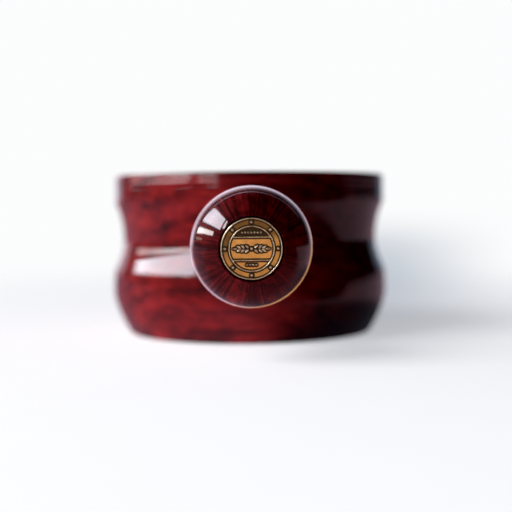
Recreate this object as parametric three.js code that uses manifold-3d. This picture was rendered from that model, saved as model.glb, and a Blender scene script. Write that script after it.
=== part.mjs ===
// A handled bowl: a squat turned hardwood bowl with one short side handle that ends in a ball.
// A struck brass medallion is let into the end of the ball. The handle is a separate spindle,
// screwed onto a brass bolt that comes through the wall of the bowl at its waist.
//
// Millimetres, +Z up. The origin is the middle of the resting face, on the bowl's turning axis.
// The handle points along -Y.

import * as THREE from "three";
import { mergeVertices } from "three/addons/utils/BufferGeometryUtils.js";
import Module from "manifold-3d";

const wasm = await Module();
wasm.setup();

// ---- Driving dimensions -------------------------------------------------------------------

const RIM_RADIUS = 56.4;
const BOWL_HEIGHT = 65.7;
const BELLY_RADIUS = 57.3;
const BELLY_HEIGHT = 17.5;
const ARRIS_RADIUS = 56.8; // the edge where the belly turns inwards to the waist
const ARRIS_HEIGHT = 26.8;
const ARRIS_SLOPE = 25; // degrees from upright, just above the edge
const WAIST_RADIUS = 53.1;
const WAIST_HEIGHT = 39; // the handle is also at this height
const BAND_BOTTOM = 55.1; // the straight band runs from here to the rim
const FOOT_RADIUS = 50.4;
const BORE_WAIST_RADIUS = 45.4; // the hollow, at the waist
const RIM_BORE_RADIUS = 49; // the hollow, at the mouth
const FLOOR_HEIGHT = 9;
const EDGE_ROUND = 0.9;

const PAD_RADIUS = 42;
const PAD_THICKNESS = 2.2;
const PAD_PROUD = 0.4;
const FIT_GAP = 0.1; // between pieces that touch
const SLIDE_GAP = 0.3; // between pieces that move past each other

const BALL_RADIUS = 20.5;
const BALL_CENTRE = 95; // from the bowl's axis
const MEDALLION_RADIUS = 10;
const MEDALLION_THICKNESS = 2;
const MEDALLION_POCKET_RADIUS = 10.6;
const MEDALLION_POCKET_DEPTH = 2.6;

const BOLT_RADIUS = 3; // M6
const BOLT_CLEARANCE_RADIUS = BOLT_RADIUS + SLIDE_GAP;
const BOLT_HEAD_RADIUS = 6.5;
const BOLT_HEAD_HEIGHT = 3.2;
const SLOT_SIZE = 1.3; // the screwdriver slot's width and depth
const INSERT_RADIUS = 4.5;
const BUSH_FLANGE_RADIUS = 6.5;
const BUSH_FLANGE_THICKNESS = 1;
const WASHER_RADIUS = 8;
const WASHER_THICKNESS = 1.2; // the seal under it is as thick

// Stations along the handle's line, counted outwards from the bowl's axis.
const INNER_SEAT = 45.8; // flat cut inside the wall, for the seal
const OUTER_SEAT = 52; // flat cut outside the wall, for the collar
const GASKET_THICKNESS = 0.6;
const COLLAR_START = OUTER_SEAT + GASKET_THICKNESS + 2 * FIT_GAP;
const COLLAR_LENGTH = 8.4;
const COLLAR_END = COLLAR_START + COLLAR_LENGTH;
const TENON_LENGTH = 1.9; // the handle's end, held in the collar's socket
const SHOULDER = COLLAR_END + FIT_GAP;
const BOLT_END = 73.7;
const INSERT_END = 76.2;

const COLLAR_RADIUS = 11.2;
const COLLAR_BEAD_RADIUS = 10.8;
const TENON_RADIUS = 8.6;
const SHOULDER_RADIUS = 9.2;

const BOWL_SEGMENTS = 72;
const HANDLE_SEGMENTS = 40;
const HARDWARE_SEGMENTS = 24;
const CURVE_STEPS = 5;

// ---- Materials ----------------------------------------------------------------------------

const finish = (color, roughness, metalness) =>
  new THREE.MeshStandardMaterial({ color, roughness, metalness });

const bowlWood = finish(0x6e1214, 0.12, 0);
const handleWood = finish(0x4c0c10, 0.08, 0);
const brass = finish(0xb8894a, 0.3, 1);
const antiqueBrass = finish(0xa8763c, 0.35, 1);
const cork = finish(0xa87b50, 0.9, 0);
const leather = finish(0x2b1a12, 0.7, 0);
const blackRubber = finish(0x151515, 0.8, 0);
const blackResin = finish(0x0a0a0c, 0.25, 0);

// ---- Turning ------------------------------------------------------------------------------

// A solid turned about Y from an outline of (radius, height) points.
function turned(outline, segments) {
  return new THREE.LatheGeometry(outline, segments);
}

// A solid turned from a list of [radius, height] corners.
function turnedFromCorners(corners, segments) {
  return turned(corners.map(([r, h]) => new THREE.Vector2(r, h)), segments);
}

// A ring with a square section, closed on itself.
function ring(inner, outer, start, end, segments) {
  const corners = [
    [inner, start],
    [outer, start],
    [outer, end],
    [inner, end],
    [inner, start],
  ];
  return turnedFromCorners(corners, segments);
}

// A plain cylinder about Y, from one station to another.
function plug(radius, start, end, segments) {
  const geometry = new THREE.CylinderGeometry(radius, radius, end - start, segments);
  return geometry.translate(0, (start + end) / 2, 0);
}

// ---- Booleans -----------------------------------------------------------------------------

function toSolid(geometry) {
  const bare = geometry.clone();
  bare.deleteAttribute("normal");
  bare.deleteAttribute("uv");
  const merged = mergeVertices(bare, 1e-4);
  return new wasm.Manifold(
    new wasm.Mesh({
      numProp: 3,
      vertProperties: new Float32Array(merged.attributes.position.array),
      triVerts: new Uint32Array(merged.index.array),
    }),
  );
}

function toGeometry(solid) {
  const mesh = solid.getMesh();
  const geometry = new THREE.BufferGeometry();
  geometry.setAttribute("position", new THREE.BufferAttribute(mesh.vertProperties, 3));
  geometry.setIndex(new THREE.BufferAttribute(mesh.triVerts, 1));
  geometry.computeVertexNormals();
  return geometry;
}

// ---- Bowl ---------------------------------------------------------------------------------

function bowlOutline() {
  const underside = PAD_PROUD;
  const recessTop = PAD_THICKNESS + FIT_GAP;
  const recessRadius = PAD_RADIUS + SLIDE_GAP;
  const rim = BOWL_HEIGHT;
  const slope = THREE.MathUtils.degToRad(ARRIS_SLOPE);
  const swell = 7; // how far the shoulder follows that slope
  const path = new THREE.Path();
  path.moveTo(0, recessTop);
  path.lineTo(recessRadius, recessTop);
  path.lineTo(recessRadius, underside);
  path.lineTo(FOOT_RADIUS, underside);
  path.bezierCurveTo(
    FOOT_RADIUS + 1, underside + 0.5,
    BELLY_RADIUS, BELLY_HEIGHT - 5.5,
    BELLY_RADIUS, BELLY_HEIGHT,
  );
  path.bezierCurveTo(
    BELLY_RADIUS, BELLY_HEIGHT + 3.5,
    ARRIS_RADIUS + 0.35, ARRIS_HEIGHT - 2.5,
    ARRIS_RADIUS, ARRIS_HEIGHT,
  );
  path.bezierCurveTo(
    ARRIS_RADIUS - swell * Math.sin(slope), ARRIS_HEIGHT + swell * Math.cos(slope),
    WAIST_RADIUS, WAIST_HEIGHT - 2.2,
    WAIST_RADIUS, WAIST_HEIGHT,
  );
  path.bezierCurveTo(
    WAIST_RADIUS, WAIST_HEIGHT + 6,
    WAIST_RADIUS + 1.4, BAND_BOTTOM - 4.3,
    RIM_RADIUS - 0.1, BAND_BOTTOM - 1,
  );
  path.lineTo(RIM_RADIUS, BAND_BOTTOM);
  path.lineTo(RIM_RADIUS, rim - EDGE_ROUND);
  path.quadraticCurveTo(RIM_RADIUS, rim, RIM_RADIUS - EDGE_ROUND, rim);
  path.lineTo(RIM_BORE_RADIUS + EDGE_ROUND, rim);
  path.quadraticCurveTo(RIM_BORE_RADIUS, rim, RIM_BORE_RADIUS, rim - EDGE_ROUND);
  path.bezierCurveTo(
    RIM_BORE_RADIUS - 0.8, rim - 9,
    BORE_WAIST_RADIUS, WAIST_HEIGHT + 11,
    BORE_WAIST_RADIUS, WAIST_HEIGHT,
  );
  path.bezierCurveTo(
    BORE_WAIST_RADIUS + 0.4, WAIST_HEIGHT - 14.5,
    BORE_WAIST_RADIUS + 1.8, FLOOR_HEIGHT + 0.5,
    BORE_WAIST_RADIUS - 18, FLOOR_HEIGHT,
  );
  path.lineTo(0, FLOOR_HEIGHT);
  return path.getPoints(CURVE_STEPS);
}

// The wall is drilled at the waist, and cut flat inside and outside for the bolt and the collar.
function bowl() {
  const innerSeatRadius = WASHER_RADIUS + 0.6;
  const outerSeatRadius = COLLAR_RADIUS + SLIDE_GAP;
  const overrun = 1; // how far a cutter runs past the face that it opens
  const flangeSeat = OUTER_SEAT - BUSH_FLANGE_THICKNESS - 2 * FIT_GAP;
  const outerEnd = OUTER_SEAT + overrun;
  const cutters = [
    plug(innerSeatRadius, INNER_SEAT - 8, INNER_SEAT, HARDWARE_SEGMENTS),
    plug(INSERT_RADIUS + FIT_GAP, INNER_SEAT - overrun, outerEnd, HARDWARE_SEGMENTS),
    plug(BUSH_FLANGE_RADIUS + FIT_GAP, flangeSeat, outerEnd, HARDWARE_SEGMENTS),
    plug(outerSeatRadius, OUTER_SEAT, BELLY_RADIUS + overrun, HANDLE_SEGMENTS),
  ];
  let body = toSolid(turned(bowlOutline(), BOWL_SEGMENTS));
  for (const cutter of cutters) {
    // In the bowl's turning frame the handle's line runs along +Z at the waist height.
    cutter.rotateX(Math.PI / 2).translate(0, WAIST_HEIGHT, 0);
    body = body.subtract(toSolid(cutter));
  }
  return toGeometry(body);
}

function footPad() {
  return plug(PAD_RADIUS, 0, PAD_THICKNESS, BOWL_SEGMENTS);
}

// ---- Bolt through the wall ----------------------------------------------------------------

// A flanged brass bush that lines the hole through the wall.
function wallBush() {
  const flangeEnd = OUTER_SEAT - FIT_GAP;
  const flangeStart = flangeEnd - BUSH_FLANGE_THICKNESS;
  const start = INNER_SEAT + FIT_GAP;
  const corners = [
    [BOLT_CLEARANCE_RADIUS, start],
    [INSERT_RADIUS, start],
    [INSERT_RADIUS, flangeStart],
    [BUSH_FLANGE_RADIUS, flangeStart],
    [BUSH_FLANGE_RADIUS, flangeEnd],
    [BOLT_CLEARANCE_RADIUS, flangeEnd],
    [BOLT_CLEARANCE_RADIUS, start],
  ];
  return turnedFromCorners(corners, HARDWARE_SEGMENTS);
}

const SEAL_END = INNER_SEAT - FIT_GAP;
const SEAL_START = SEAL_END - WASHER_THICKNESS;
const WASHER_END = SEAL_START - FIT_GAP;
const WASHER_START = WASHER_END - WASHER_THICKNESS;
const HEAD_END = WASHER_START - FIT_GAP;

function sealRing() {
  return ring(BOLT_CLEARANCE_RADIUS, BOLT_HEAD_RADIUS, SEAL_START, SEAL_END, HARDWARE_SEGMENTS);
}

function boltWasher() {
  return ring(BOLT_CLEARANCE_RADIUS, WASHER_RADIUS, WASHER_START, WASHER_END, HARDWARE_SEGMENTS);
}

// A domed, slotted brass bolt. Its head is inside the bowl.
function handleBolt() {
  const headTop = HEAD_END - BOLT_HEAD_HEIGHT;
  const headEdge = 0.8; // the dome stops short of the head's flat underside
  const endChamfer = 0.8;
  const path = new THREE.Path();
  path.moveTo(0, headTop);
  path.bezierCurveTo(
    BOLT_HEAD_RADIUS / 2, headTop,
    BOLT_HEAD_RADIUS, headTop + headEdge,
    BOLT_HEAD_RADIUS, HEAD_END - headEdge,
  );
  path.lineTo(BOLT_HEAD_RADIUS, HEAD_END);
  path.lineTo(BOLT_RADIUS, HEAD_END);
  path.lineTo(BOLT_RADIUS, BOLT_END - endChamfer);
  path.lineTo(BOLT_RADIUS - endChamfer, BOLT_END);
  path.lineTo(0, BOLT_END);
  const slot = new THREE.BoxGeometry(3 * BOLT_HEAD_RADIUS, 2 * SLOT_SIZE, SLOT_SIZE);
  slot.translate(0, headTop, 0);
  const blank = toSolid(turned(path.getPoints(CURVE_STEPS), HARDWARE_SEGMENTS));
  return toGeometry(blank.subtract(toSolid(slot)));
}

// ---- Collar and handle --------------------------------------------------------------------

function collarGasket() {
  const start = OUTER_SEAT + FIT_GAP;
  return ring(
    BOLT_CLEARANCE_RADIUS, COLLAR_RADIUS - 0.4, start, start + GASKET_THICKNESS, HARDWARE_SEGMENTS,
  );
}

// A turned brass collar: a foot, a cove and a bead, with a socket for the handle's tenon.
function handleCollar() {
  const footEnd = COLLAR_START + 1.6;
  const beadStart = COLLAR_END - 3;
  const beadFoot = COLLAR_RADIUS - 1.6; // the cove's radius where the bead starts
  const socketFloor = COLLAR_END - TENON_LENGTH - FIT_GAP;
  const socketRadius = TENON_RADIUS + FIT_GAP;
  const path = new THREE.Path();
  path.moveTo(BOLT_CLEARANCE_RADIUS, COLLAR_START);
  path.lineTo(COLLAR_RADIUS, COLLAR_START);
  path.lineTo(COLLAR_RADIUS, footEnd);
  path.bezierCurveTo(
    beadFoot, footEnd + 0.6,
    beadFoot - 0.4, beadStart - 1.6,
    beadFoot, beadStart,
  );
  path.bezierCurveTo(
    COLLAR_BEAD_RADIUS, beadStart + 0.4,
    COLLAR_BEAD_RADIUS, COLLAR_END - 0.3,
    SHOULDER_RADIUS + 0.3, COLLAR_END,
  );
  path.lineTo(socketRadius, COLLAR_END);
  path.lineTo(socketRadius, socketFloor);
  path.lineTo(BOLT_CLEARANCE_RADIUS, socketFloor);
  path.lineTo(BOLT_CLEARANCE_RADIUS, COLLAR_START);
  return turned(path.getPoints(CURVE_STEPS), HANDLE_SEGMENTS);
}

// Where the pocket for the medallion meets the ball's surface.
const POCKET_EDGE_ANGLE = Math.asin(MEDALLION_POCKET_RADIUS / BALL_RADIUS);
const POCKET_EDGE_STATION = BALL_CENTRE + BALL_RADIUS * Math.cos(POCKET_EDGE_ANGLE);
const POCKET_FLOOR_STATION = POCKET_EDGE_STATION - MEDALLION_POCKET_DEPTH;

// The spindle: tenon, shoulder bead, narrow neck and ball, with the medallion's pocket in the end.
function handleGrip() {
  const tenonEnd = SHOULDER - TENON_LENGTH;
  const boreRadius = INSERT_RADIUS + FIT_GAP;
  const boreEnd = INSERT_END + 2;
  const beadEnd = SHOULDER + 3.6;
  const beadRadius = SHOULDER_RADIUS + 1.3;
  const neckJoin = THREE.MathUtils.degToRad(32); // where the neck meets the ball, from its axis
  const joinRadius = BALL_RADIUS * Math.sin(neckJoin);
  const joinStation = BALL_CENTRE - BALL_RADIUS * Math.cos(neckJoin);
  const lead = 3.2; // how far the neck's curve runs along the ball's tangent

  const path = new THREE.Path();
  path.moveTo(0, boreEnd);
  path.lineTo(boreRadius, boreEnd);
  path.lineTo(boreRadius, tenonEnd);
  path.lineTo(TENON_RADIUS, tenonEnd);
  path.lineTo(TENON_RADIUS, SHOULDER);
  path.lineTo(SHOULDER_RADIUS, SHOULDER);
  path.bezierCurveTo(
    beadRadius, SHOULDER + 0.6,
    beadRadius, beadEnd - 0.7,
    SHOULDER_RADIUS, beadEnd,
  );
  path.bezierCurveTo(
    SHOULDER_RADIUS - 1.8, beadEnd + 5.8,
    joinRadius - lead * Math.cos(neckJoin), joinStation - lead * Math.sin(neckJoin),
    joinRadius, joinStation,
  );
  // absarc counts its angles from +radius towards +station.
  const arcStart = neckJoin - Math.PI / 2;
  const arcEnd = Math.PI / 2 - POCKET_EDGE_ANGLE;
  path.absarc(0, BALL_CENTRE, BALL_RADIUS, arcStart, arcEnd, false);
  path.lineTo(MEDALLION_POCKET_RADIUS, POCKET_FLOOR_STATION);
  path.lineTo(0, POCKET_FLOOR_STATION);
  return turned(path.getPoints(2 * CURVE_STEPS), HANDLE_SEGMENTS);
}

// The brass insert that gives the handle its thread, with two retaining grooves.
function handleInsert() {
  const start = SHOULDER - TENON_LENGTH + FIT_GAP;
  const grooveFloor = INSERT_RADIUS - 0.5;
  const grooveWidth = 1.5;
  const corners = [
    [BOLT_CLEARANCE_RADIUS, start],
    [INSERT_RADIUS, start],
  ];
  for (const grooveStart of [start + 4, start + 10]) {
    corners.push(
      [INSERT_RADIUS, grooveStart],
      [grooveFloor, grooveStart],
      [grooveFloor, grooveStart + grooveWidth],
      [INSERT_RADIUS, grooveStart + grooveWidth],
    );
  }
  corners.push(
    [INSERT_RADIUS, INSERT_END],
    [BOLT_CLEARANCE_RADIUS, INSERT_END],
    [BOLT_CLEARANCE_RADIUS, start],
  );
  return turnedFromCorners(corners, HARDWARE_SEGMENTS);
}

// ---- Medallion ----------------------------------------------------------------------------

const BED_THICKNESS = 0.4;
const COIN_BACK = POCKET_FLOOR_STATION + BED_THICKNESS + 2 * FIT_GAP;
const RIM_WIDTH = 0.55;
const RIM_RELIEF = 0.4;
const INNER_RING_RADIUS = 7.2;
const RING_RELIEF = 0.3;
const BAR_OFFSET = 3.7; // from the coin's middle to each bar

// The black resin that the medallion is set in: a shallow cup.
function medallionBed() {
  const outer = MEDALLION_POCKET_RADIUS - FIT_GAP;
  const inner = MEDALLION_RADIUS + FIT_GAP;
  const floor = POCKET_FLOOR_STATION + FIT_GAP;
  const lip = POCKET_EDGE_STATION - 0.5;
  const corners = [
    [0, floor],
    [outer, floor],
    [outer, lip],
    [inner, lip],
    [inner, floor + BED_THICKNESS],
    [0, floor + BED_THICKNESS],
  ];
  return turnedFromCorners(corners, HANDLE_SEGMENTS);
}

// The coin's blank, lying on its back at height 0, with its struck rim and inner ring.
function coinBlank() {
  const face = MEDALLION_THICKNESS;
  const rimInner = MEDALLION_RADIUS - RIM_WIDTH;
  const slope = 0.1; // struck edges lean back a little
  const corners = [
    [0, 0],
    [MEDALLION_RADIUS, 0],
    [MEDALLION_RADIUS, face + RIM_RELIEF - slope],
    [MEDALLION_RADIUS - slope, face + RIM_RELIEF],
    [rimInner + slope, face + RIM_RELIEF],
    [rimInner, face],
    [INNER_RING_RADIUS + 0.2 + slope, face],
    [INNER_RING_RADIUS + 0.2, face + RING_RELIEF],
    [INNER_RING_RADIUS - 0.2, face + RING_RELIEF],
    [INNER_RING_RADIUS - 0.2 - slope, face],
    [0, face],
  ];
  return turnedFromCorners(corners, HANDLE_SEGMENTS);
}

// A pointed leaf lying along +X from its stem at the origin.
function leaf(length, width) {
  const shape = new THREE.Shape();
  shape.moveTo(0, 0);
  shape.quadraticCurveTo(length * 0.4, width, length, 0);
  shape.quadraticCurveTo(length * 0.4, -width, 0, 0);
  return new THREE.ExtrudeGeometry(shape, { depth: 0.5, bevelEnabled: false, curveSegments: 4 });
}

// The struck coin, face up: a rim, a ring of beads, an inner ring, and two bars with a garland
// of leaves between them.
function medallion() {
  const face = MEDALLION_THICKNESS;
  const beadRing = 8.5;
  const beadCount = 8;
  const relief = [];

  const bead = (radius, x, y) => {
    const ball = new THREE.SphereGeometry(radius, 10, 7).rotateX(Math.PI / 2);
    relief.push(ball.translate(x, y, face));
  };
  for (let i = 0; i < beadCount; i++) {
    const turn = (i / beadCount) * 2 * Math.PI;
    bead(0.5, beadRing * Math.sin(turn), beadRing * Math.cos(turn));
  }
  bead(0.6, 0, 0);
  for (const x of [-2.4, -1.2, 0, 1.2, 2.4]) {
    bead(0.34, x, BAR_OFFSET + 1.4);
  }
  for (const x of [-1.2, 0, 1.2]) {
    bead(0.34, x, -BAR_OFFSET - 1.4);
  }

  const barLength = 2 * Math.sqrt(INNER_RING_RADIUS ** 2 - BAR_OFFSET ** 2);
  for (const y of [-BAR_OFFSET, BAR_OFFSET]) {
    relief.push(new THREE.BoxGeometry(barLength, 0.36, 0.4).translate(0, y, face + 0.02));
  }

  // Two pairs of leaves and a tip leaf on each side, each on its own stem.
  const leaves = [
    { x: 1.0, y: 0.3, tilt: 35 },
    { x: 1.0, y: -0.3, tilt: -35 },
    { x: 2.9, y: 0.25, tilt: 30 },
    { x: 2.9, y: -0.25, tilt: -30 },
    { x: 4.7, y: 0, tilt: 0 },
  ];
  for (const side of [-1, 1]) {
    for (const { x, y, tilt } of leaves) {
      const turn = THREE.MathUtils.degToRad(side > 0 ? tilt : 180 - tilt);
      relief.push(leaf(1.8, 0.6).rotateZ(turn).translate(side * x, y, face - 0.25));
    }
  }

  const blank = toSolid(coinBlank().rotateX(Math.PI / 2));
  return toGeometry(relief.map(toSolid).reduce((coin, piece) => coin.add(piece), blank));
}

// ---- Assembly -----------------------------------------------------------------------------

function part(name, geometry, material) {
  const mesh = new THREE.Mesh(geometry, material);
  mesh.name = name;
  return mesh;
}

// Pieces turned about the bowl's axis: their turning axis Y becomes +Z.
const bowlGroup = new THREE.Group();
bowlGroup.rotation.x = Math.PI / 2;
bowlGroup.add(
  part("bowl", bowl(), bowlWood),
  part("foot_pad", footPad(), cork),
);

// Pieces turned about the handle's line: their turning axis Y becomes -Y, at the waist height.
const handleGroup = new THREE.Group();
handleGroup.position.z = WAIST_HEIGHT;
handleGroup.rotation.z = Math.PI;
handleGroup.add(
  part("wall_bush", wallBush(), brass),
  part("seal_ring", sealRing(), blackRubber),
  part("bolt_washer", boltWasher(), brass),
  part("handle_bolt", handleBolt(), brass),
  part("collar_gasket", collarGasket(), leather),
  part("handle_collar", handleCollar(), brass),
  part("handle_grip", handleGrip(), handleWood),
  part("handle_insert", handleInsert(), brass),
  part("medallion_bed", medallionBed(), blackResin),
);

const coin = part("medallion", medallion(), antiqueBrass);
coin.position.y = COIN_BACK;
coin.rotation.x = -Math.PI / 2;
coin.rotateZ(Math.PI); // the top of the coin's face points up
handleGroup.add(coin);

const handledBowl = new THREE.Group();
handledBowl.add(bowlGroup, handleGroup);

export default handledBowl;
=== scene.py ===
import math

import bmesh
import bpy
import numpy as np
from mathutils import Matrix, Vector


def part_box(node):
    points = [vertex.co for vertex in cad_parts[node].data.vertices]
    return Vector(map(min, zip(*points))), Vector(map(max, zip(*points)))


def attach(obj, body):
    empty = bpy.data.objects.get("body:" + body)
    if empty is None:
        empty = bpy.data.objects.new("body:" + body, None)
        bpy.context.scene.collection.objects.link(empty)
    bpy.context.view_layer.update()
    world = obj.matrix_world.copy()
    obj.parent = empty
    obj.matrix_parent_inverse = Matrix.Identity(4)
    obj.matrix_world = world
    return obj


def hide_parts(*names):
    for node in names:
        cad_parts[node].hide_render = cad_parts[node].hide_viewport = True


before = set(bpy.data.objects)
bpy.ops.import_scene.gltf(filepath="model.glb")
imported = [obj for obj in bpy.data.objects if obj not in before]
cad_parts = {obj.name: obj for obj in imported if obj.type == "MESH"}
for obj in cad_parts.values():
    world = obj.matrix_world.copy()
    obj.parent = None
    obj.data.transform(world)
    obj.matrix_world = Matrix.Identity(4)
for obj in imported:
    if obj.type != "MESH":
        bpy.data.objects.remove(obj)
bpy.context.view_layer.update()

# ---- Sizes --------------------------------------------------------------------------------
# Outlines are drawn in millimetres and turned into metres when a mesh is made.

MM = 0.001


def box_mm(node):
    """The lowest and highest corners of a CAD node, in millimetres."""
    low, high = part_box(node)
    return Vector(low) / MM, Vector(high) / MM


bowl_low, bowl_high = box_mm("bowl")
grip_low, grip_high = box_mm("handle_grip")
bolt_low, bolt_high = box_mm("handle_bolt")
collar_low, collar_high = box_mm("handle_collar")
coin_high = box_mm("medallion")[1]

BOWL_HEIGHT = bowl_high.z
BOWL_UNDERSIDE = bowl_low.z
BELLY_RADIUS = bowl_high.x
BELLY_HEIGHT = 17.5
ARRIS_RADIUS = 56.8  # the edge where the belly turns inwards to the waist
ARRIS_HEIGHT = 26.8
ARRIS_SLOPE = math.radians(25)  # from upright, just above the edge
RIM_RADIUS = 56.4
WAIST_RADIUS = 53.1
WAIST_HEIGHT = (grip_low.z + grip_high.z) / 2  # the handle's line is at the waist
BAND_BOTTOM = 55.1
FOOT_RADIUS = 50.4
BORE_WAIST_RADIUS = 45.4
RIM_BORE_RADIUS = 49
FLOOR_HEIGHT = 9
EDGE_ROUND = 0.9

BALL_RADIUS = grip_high.x
BALL_CENTRE = 95  # station, counted outwards from the bowl's axis
COIN_RADIUS = coin_high.x
COIN_BACK = -coin_high.y
COIN_THICKNESS = 2
POCKET_RADIUS = COIN_RADIUS + 0.6
POCKET_DEPTH = 2.6
POCKET_ANGLE = math.asin(POCKET_RADIUS / BALL_RADIUS)
POCKET_EDGE = BALL_CENTRE + BALL_RADIUS * math.cos(POCKET_ANGLE)
POCKET_FLOOR = POCKET_EDGE - POCKET_DEPTH

INNER_SEAT = 45.8
OUTER_SEAT = 52
BORE_RADIUS = 3.3
INNER_SEAT_RADIUS = 8.6
FLANGE_POCKET_RADIUS = 6.6
FLANGE_POCKET_DEPTH = 1.2
OVERRUN = 1  # how far a cutter runs past the face that it opens
BOLT_RADIUS = 3  # M6
BOLT_HEAD_HEIGHT = 3.2
SLOT_DEPTH = 1.3
SHOULDER = -collar_low.y + 0.1
SHOULDER_RADIUS = 9.2
TENON_RADIUS = 8.6
TENON_LENGTH = 1.9
INSERT_BORE = 4.6
COLLAR_RADIUS = collar_high.x
THREAD_PITCH = 1.0
THREAD_DEPTH = 0.55


# ---- Turned meshes ------------------------------------------------------------------------

def bezier(start, lead_in, lead_out, end, steps=16):
    """Points of a cubic curve, without its first one."""
    points = []
    for i in range(1, steps + 1):
        t = i / steps
        s = 1 - t
        weights = (s**3, 3 * s * s * t, 3 * s * t * t, t**3)
        corners = (start, lead_in, lead_out, end)
        points.append(tuple(sum(w * c[k] for w, c in zip(weights, corners)) for k in (0, 1)))
    return points


def arc(centre, radius, start, end, steps=24):
    """Points of an arc about (0, centre), without its first one. Angles run from +radius to +height."""
    points = []
    for i in range(1, steps + 1):
        a = start + (end - start) * i / steps
        points.append((radius * math.cos(a), centre + radius * math.sin(a)))
    return points


def about_bowl_axis(r, turn, height):
    return Vector((r * math.cos(turn), r * math.sin(turn), height)) * MM


def about_handle_line(r, turn, station):
    return Vector((r * math.cos(turn), -station, WAIST_HEIGHT + r * math.sin(turn))) * MM


def skin(name, rows, closed, sharp=32):
    """A closed mesh over rows of points about a line. A row of one point is a pole."""
    starts = np.cumsum([0] + [len(row) for row in rows])
    pairs = list(zip(range(len(rows)), range(1, len(rows))))
    if closed:
        pairs.append((len(rows) - 1, 0))
    faces = []
    for a, b in pairs:
        wide = max(len(rows[a]), len(rows[b]))
        for i in range(wide):
            j = (i + 1) % wide
            corners = [starts[r] + k % len(rows[r]) for r, k in ((a, i), (a, j), (b, j), (b, i))]
            faces.append(list(dict.fromkeys(int(c) for c in corners)))
    mesh = bpy.data.meshes.new(name)
    mesh.from_pydata([point for row in rows for point in row], [], faces)
    shell = bmesh.new()
    shell.from_mesh(mesh)
    bmesh.ops.recalc_face_normals(shell, faces=shell.faces)
    shell.to_mesh(mesh)
    shell.free()
    piece = bpy.data.objects.new(name, mesh)
    bpy.context.scene.collection.objects.link(piece)
    smooth(piece, sharp)
    return piece


def turn_solid(name, outline, place, segments=128, wave=None, sharp=32):
    """A closed solid turned from (radius, height) points. An outline that doesn't start on the axis is
    closed on itself. wave(radius, turn, height) may change the radius from point to point."""
    rows = []
    for r, h in outline:
        if r < 1e-6:
            rows.append([place(0, 0, h)])
            continue
        turns = [2 * math.pi * i / segments for i in range(segments)]
        rows.append([place(wave(r, turn, h) if wave else r, turn, h) for turn in turns])
    return skin(name, rows, outline[0][0] > 1e-6, sharp)


def smooth(piece, sharp=32):
    """Smooth shading, with edges sharper than an angle in degrees kept crisp."""
    for face in piece.data.polygons:
        face.use_smooth = True
    piece.data.set_sharp_from_angle(angle=math.radians(sharp))


def cut(piece, cutters):
    """Takes each cutter's shape out of the piece."""
    for cutter in cutters:
        boolean = piece.modifiers.new("cut", "BOOLEAN")
        boolean.operation = "DIFFERENCE"
        boolean.solver = "EXACT"
        boolean.object = cutter
        bpy.context.view_layer.objects.active = piece
        bpy.ops.object.modifier_apply(modifier=boolean.name)
        bpy.data.objects.remove(cutter)


def rounded_ring(inner, outer, start, end, edge, steps=4):
    """The outline of a ring with its four edges rounded."""
    corners = [
        (outer - edge, start + edge, -90),
        (outer - edge, end - edge, 0),
        (inner + edge, end - edge, 90),
        (inner + edge, start + edge, 180),
    ]
    points = []
    for r, h, first in corners:
        for i in range(steps + 1):
            a = math.radians(first + 90 * i / steps)
            points.append((r + edge * math.cos(a), h + edge * math.sin(a)))
    return points


def rounded_disc(outer, start, end, edge, steps=4):
    """The outline of a disc with its two edges rounded."""
    points = [(0, start)]
    for h, first in ((start + edge, -90), (end - edge, 0)):
        for i in range(steps + 1):
            a = math.radians(first + 90 * i / steps)
            points.append((outer - edge + edge * math.cos(a), h + edge * math.sin(a)))
    return points + [(0, end)]


# ---- Node materials -----------------------------------------------------------------------

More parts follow.
